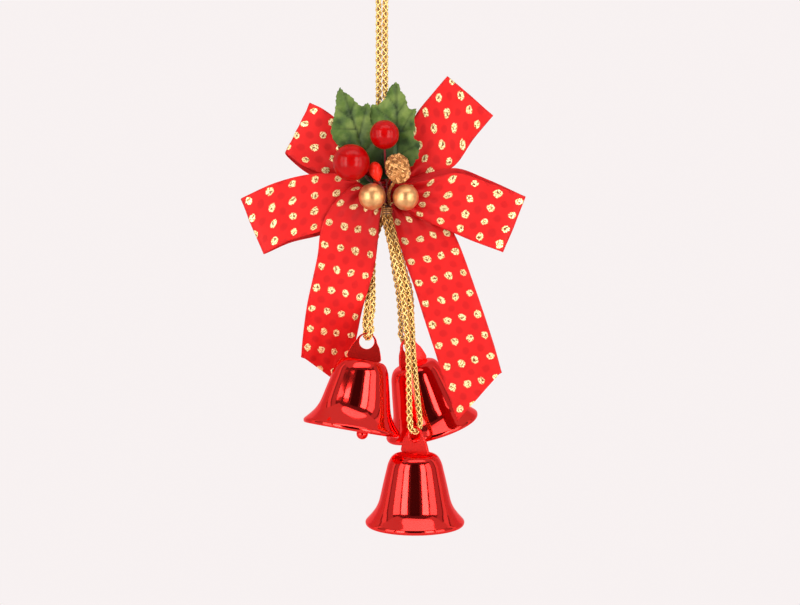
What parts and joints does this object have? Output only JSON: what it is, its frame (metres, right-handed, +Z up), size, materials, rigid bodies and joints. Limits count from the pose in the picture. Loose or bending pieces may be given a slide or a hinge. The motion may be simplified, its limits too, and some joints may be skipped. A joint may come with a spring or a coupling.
{
  "type": "christmas bell ornament",
  "caption": "Hanging ornament: red metal bells with clappers on braided gold cords below a dotted red ribbon bow with holly leaves and berries.",
  "frame": {"origin": "underside of the hanging loop's bight, where a hook or twig carries it", "axes": "+Z up along the hanging cord; -Y towards the front, the side the berries and the bow's face are on; +X to the right seen from the front"},
  "size_m": [0.1235, 0.0692, 0.2355],
  "materials": {
    "gold_cord": "metallic thread braid",
    "red_ribbon": "satin with raised gold foil dots",
    "tie_wire": "satin",
    "stem_dark": "satin",
    "leaf_green": "satin with moulded veins",
    "berry_red": "high gloss",
    "bud_red": "gloss",
    "gold_satin": "satin metallic paint",
    "gold_glitter": "granular glitter",
    "bell_red": "mirror gloss metallic"
  },
  "bodies": {
    "wreath_and_bow": {"hanging_cord": "gold_cord", "cord_knot": "gold_cord", "upper_bow_ribbon": "red_ribbon", "lower_bow_ribbon": "red_ribbon", "tail_ribbon": "red_ribbon", "bow_tie_wire": "tie_wire", "binding_wire": "tie_wire", "stem_bundle": "stem_dark", "holly_leaf_left": "leaf_green", "holly_leaf_right": "leaf_green", "holly_leaf_small": "leaf_green", "leaf_stem_left": "stem_dark", "leaf_stem_right": "stem_dark", "large_berry": "berry_red", "medium_berry": "berry_red", "berry_bud": "bud_red", "glitter_bud": "gold_glitter", "gold_ball_left": "gold_satin", "gold_ball_right": "gold_satin", "large_berry_stem": "stem_dark", "medium_berry_stem": "stem_dark", "berry_bud_stem": "stem_dark", "glitter_bud_stem": "gold_glitter", "gold_ball_left_stem": "stem_dark", "gold_ball_right_stem": "stem_dark", "left_bell_cord_top": "gold_cord"},
    "left_cord": {"left_bell_cord": "gold_cord"},
    "left_bell": {"left_bell_shell": "bell_red", "left_bell_tab": "bell_red"},
    "left_clapper": {"left_clapper_wire": "bell_red", "left_clapper_ball": "bell_red"},
    "right_cord": {"right_bell_cord": "gold_cord"},
    "right_bell": {"right_bell_shell": "bell_red", "right_bell_tab": "bell_red"},
    "right_clapper": {"right_clapper_wire": "bell_red", "right_clapper_ball": "bell_red"},
    "front_cord": {"front_bell_cord": "gold_cord"},
    "front_bell": {"front_bell_shell": "bell_red", "front_bell_tab": "bell_red"},
    "front_clapper": {"front_clapper_wire": "bell_red", "front_clapper_ball": "bell_red"}
  },
  "joints": [
    {"name": "left_cord_swing", "type": "hinge", "parent": "wreath_and_bow", "child": "left_cord", "pos_m": [-0.00495, -0.0009, -0.1375], "axis": [-0.6606, 0.7507, 0], "range_deg": [0, 8]},
    {"name": "left_bell_swing", "type": "hinge", "parent": "left_cord", "child": "left_bell", "pos_m": [-0.006, -0.00684, -0.15269], "axis": [-0.0118, 0.9976, -0.0688], "range_deg": [0, 12]},
    {"name": "left_clapper_swing", "type": "hinge", "parent": "left_bell", "child": "left_clapper", "pos_m": [-0.00808, -0.0077, -0.16483], "axis": [-0.0118, 0.9976, -0.0688], "range_deg": [-14, 14]},
    {"name": "right_cord_swing", "type": "hinge", "parent": "wreath_and_bow", "child": "right_cord", "pos_m": [0.0037, 0.005, -0.1012], "axis": [0.6, -0.8, 0], "range_deg": [0, 10]},
    {"name": "right_bell_swing", "type": "hinge", "parent": "right_cord", "child": "right_bell", "pos_m": [0.01074, 0.00961, -0.15538], "axis": [-0.5615, 0.8272, -0.022], "range_deg": [-12, 0]},
    {"name": "right_clapper_swing", "type": "hinge", "parent": "right_bell", "child": "right_clapper", "pos_m": [0.0142, 0.01165, -0.16706], "axis": [-0.5615, 0.8272, -0.022], "range_deg": [-14, 12]},
    {"name": "front_cord_swing", "type": "hinge", "parent": "wreath_and_bow", "child": "front_cord", "pos_m": [0.0021, -0.0062, -0.101], "axis": [-0.6919, -0.722, 0], "range_deg": [0, 12]},
    {"name": "front_bell_swing", "type": "hinge", "parent": "front_cord", "child": "front_bell", "pos_m": [0.0137, -0.01621, -0.19076], "axis": [0.6428, 0.7631, 0.0668], "range_deg": [-4, 14]},
    {"name": "front_clapper_swing", "type": "hinge", "parent": "front_bell", "child": "front_clapper", "pos_m": [0.0137, -0.01513, -0.20306], "axis": [0.6428, 0.7631, 0.0668], "range_deg": [-16, 16]}
  ]
}
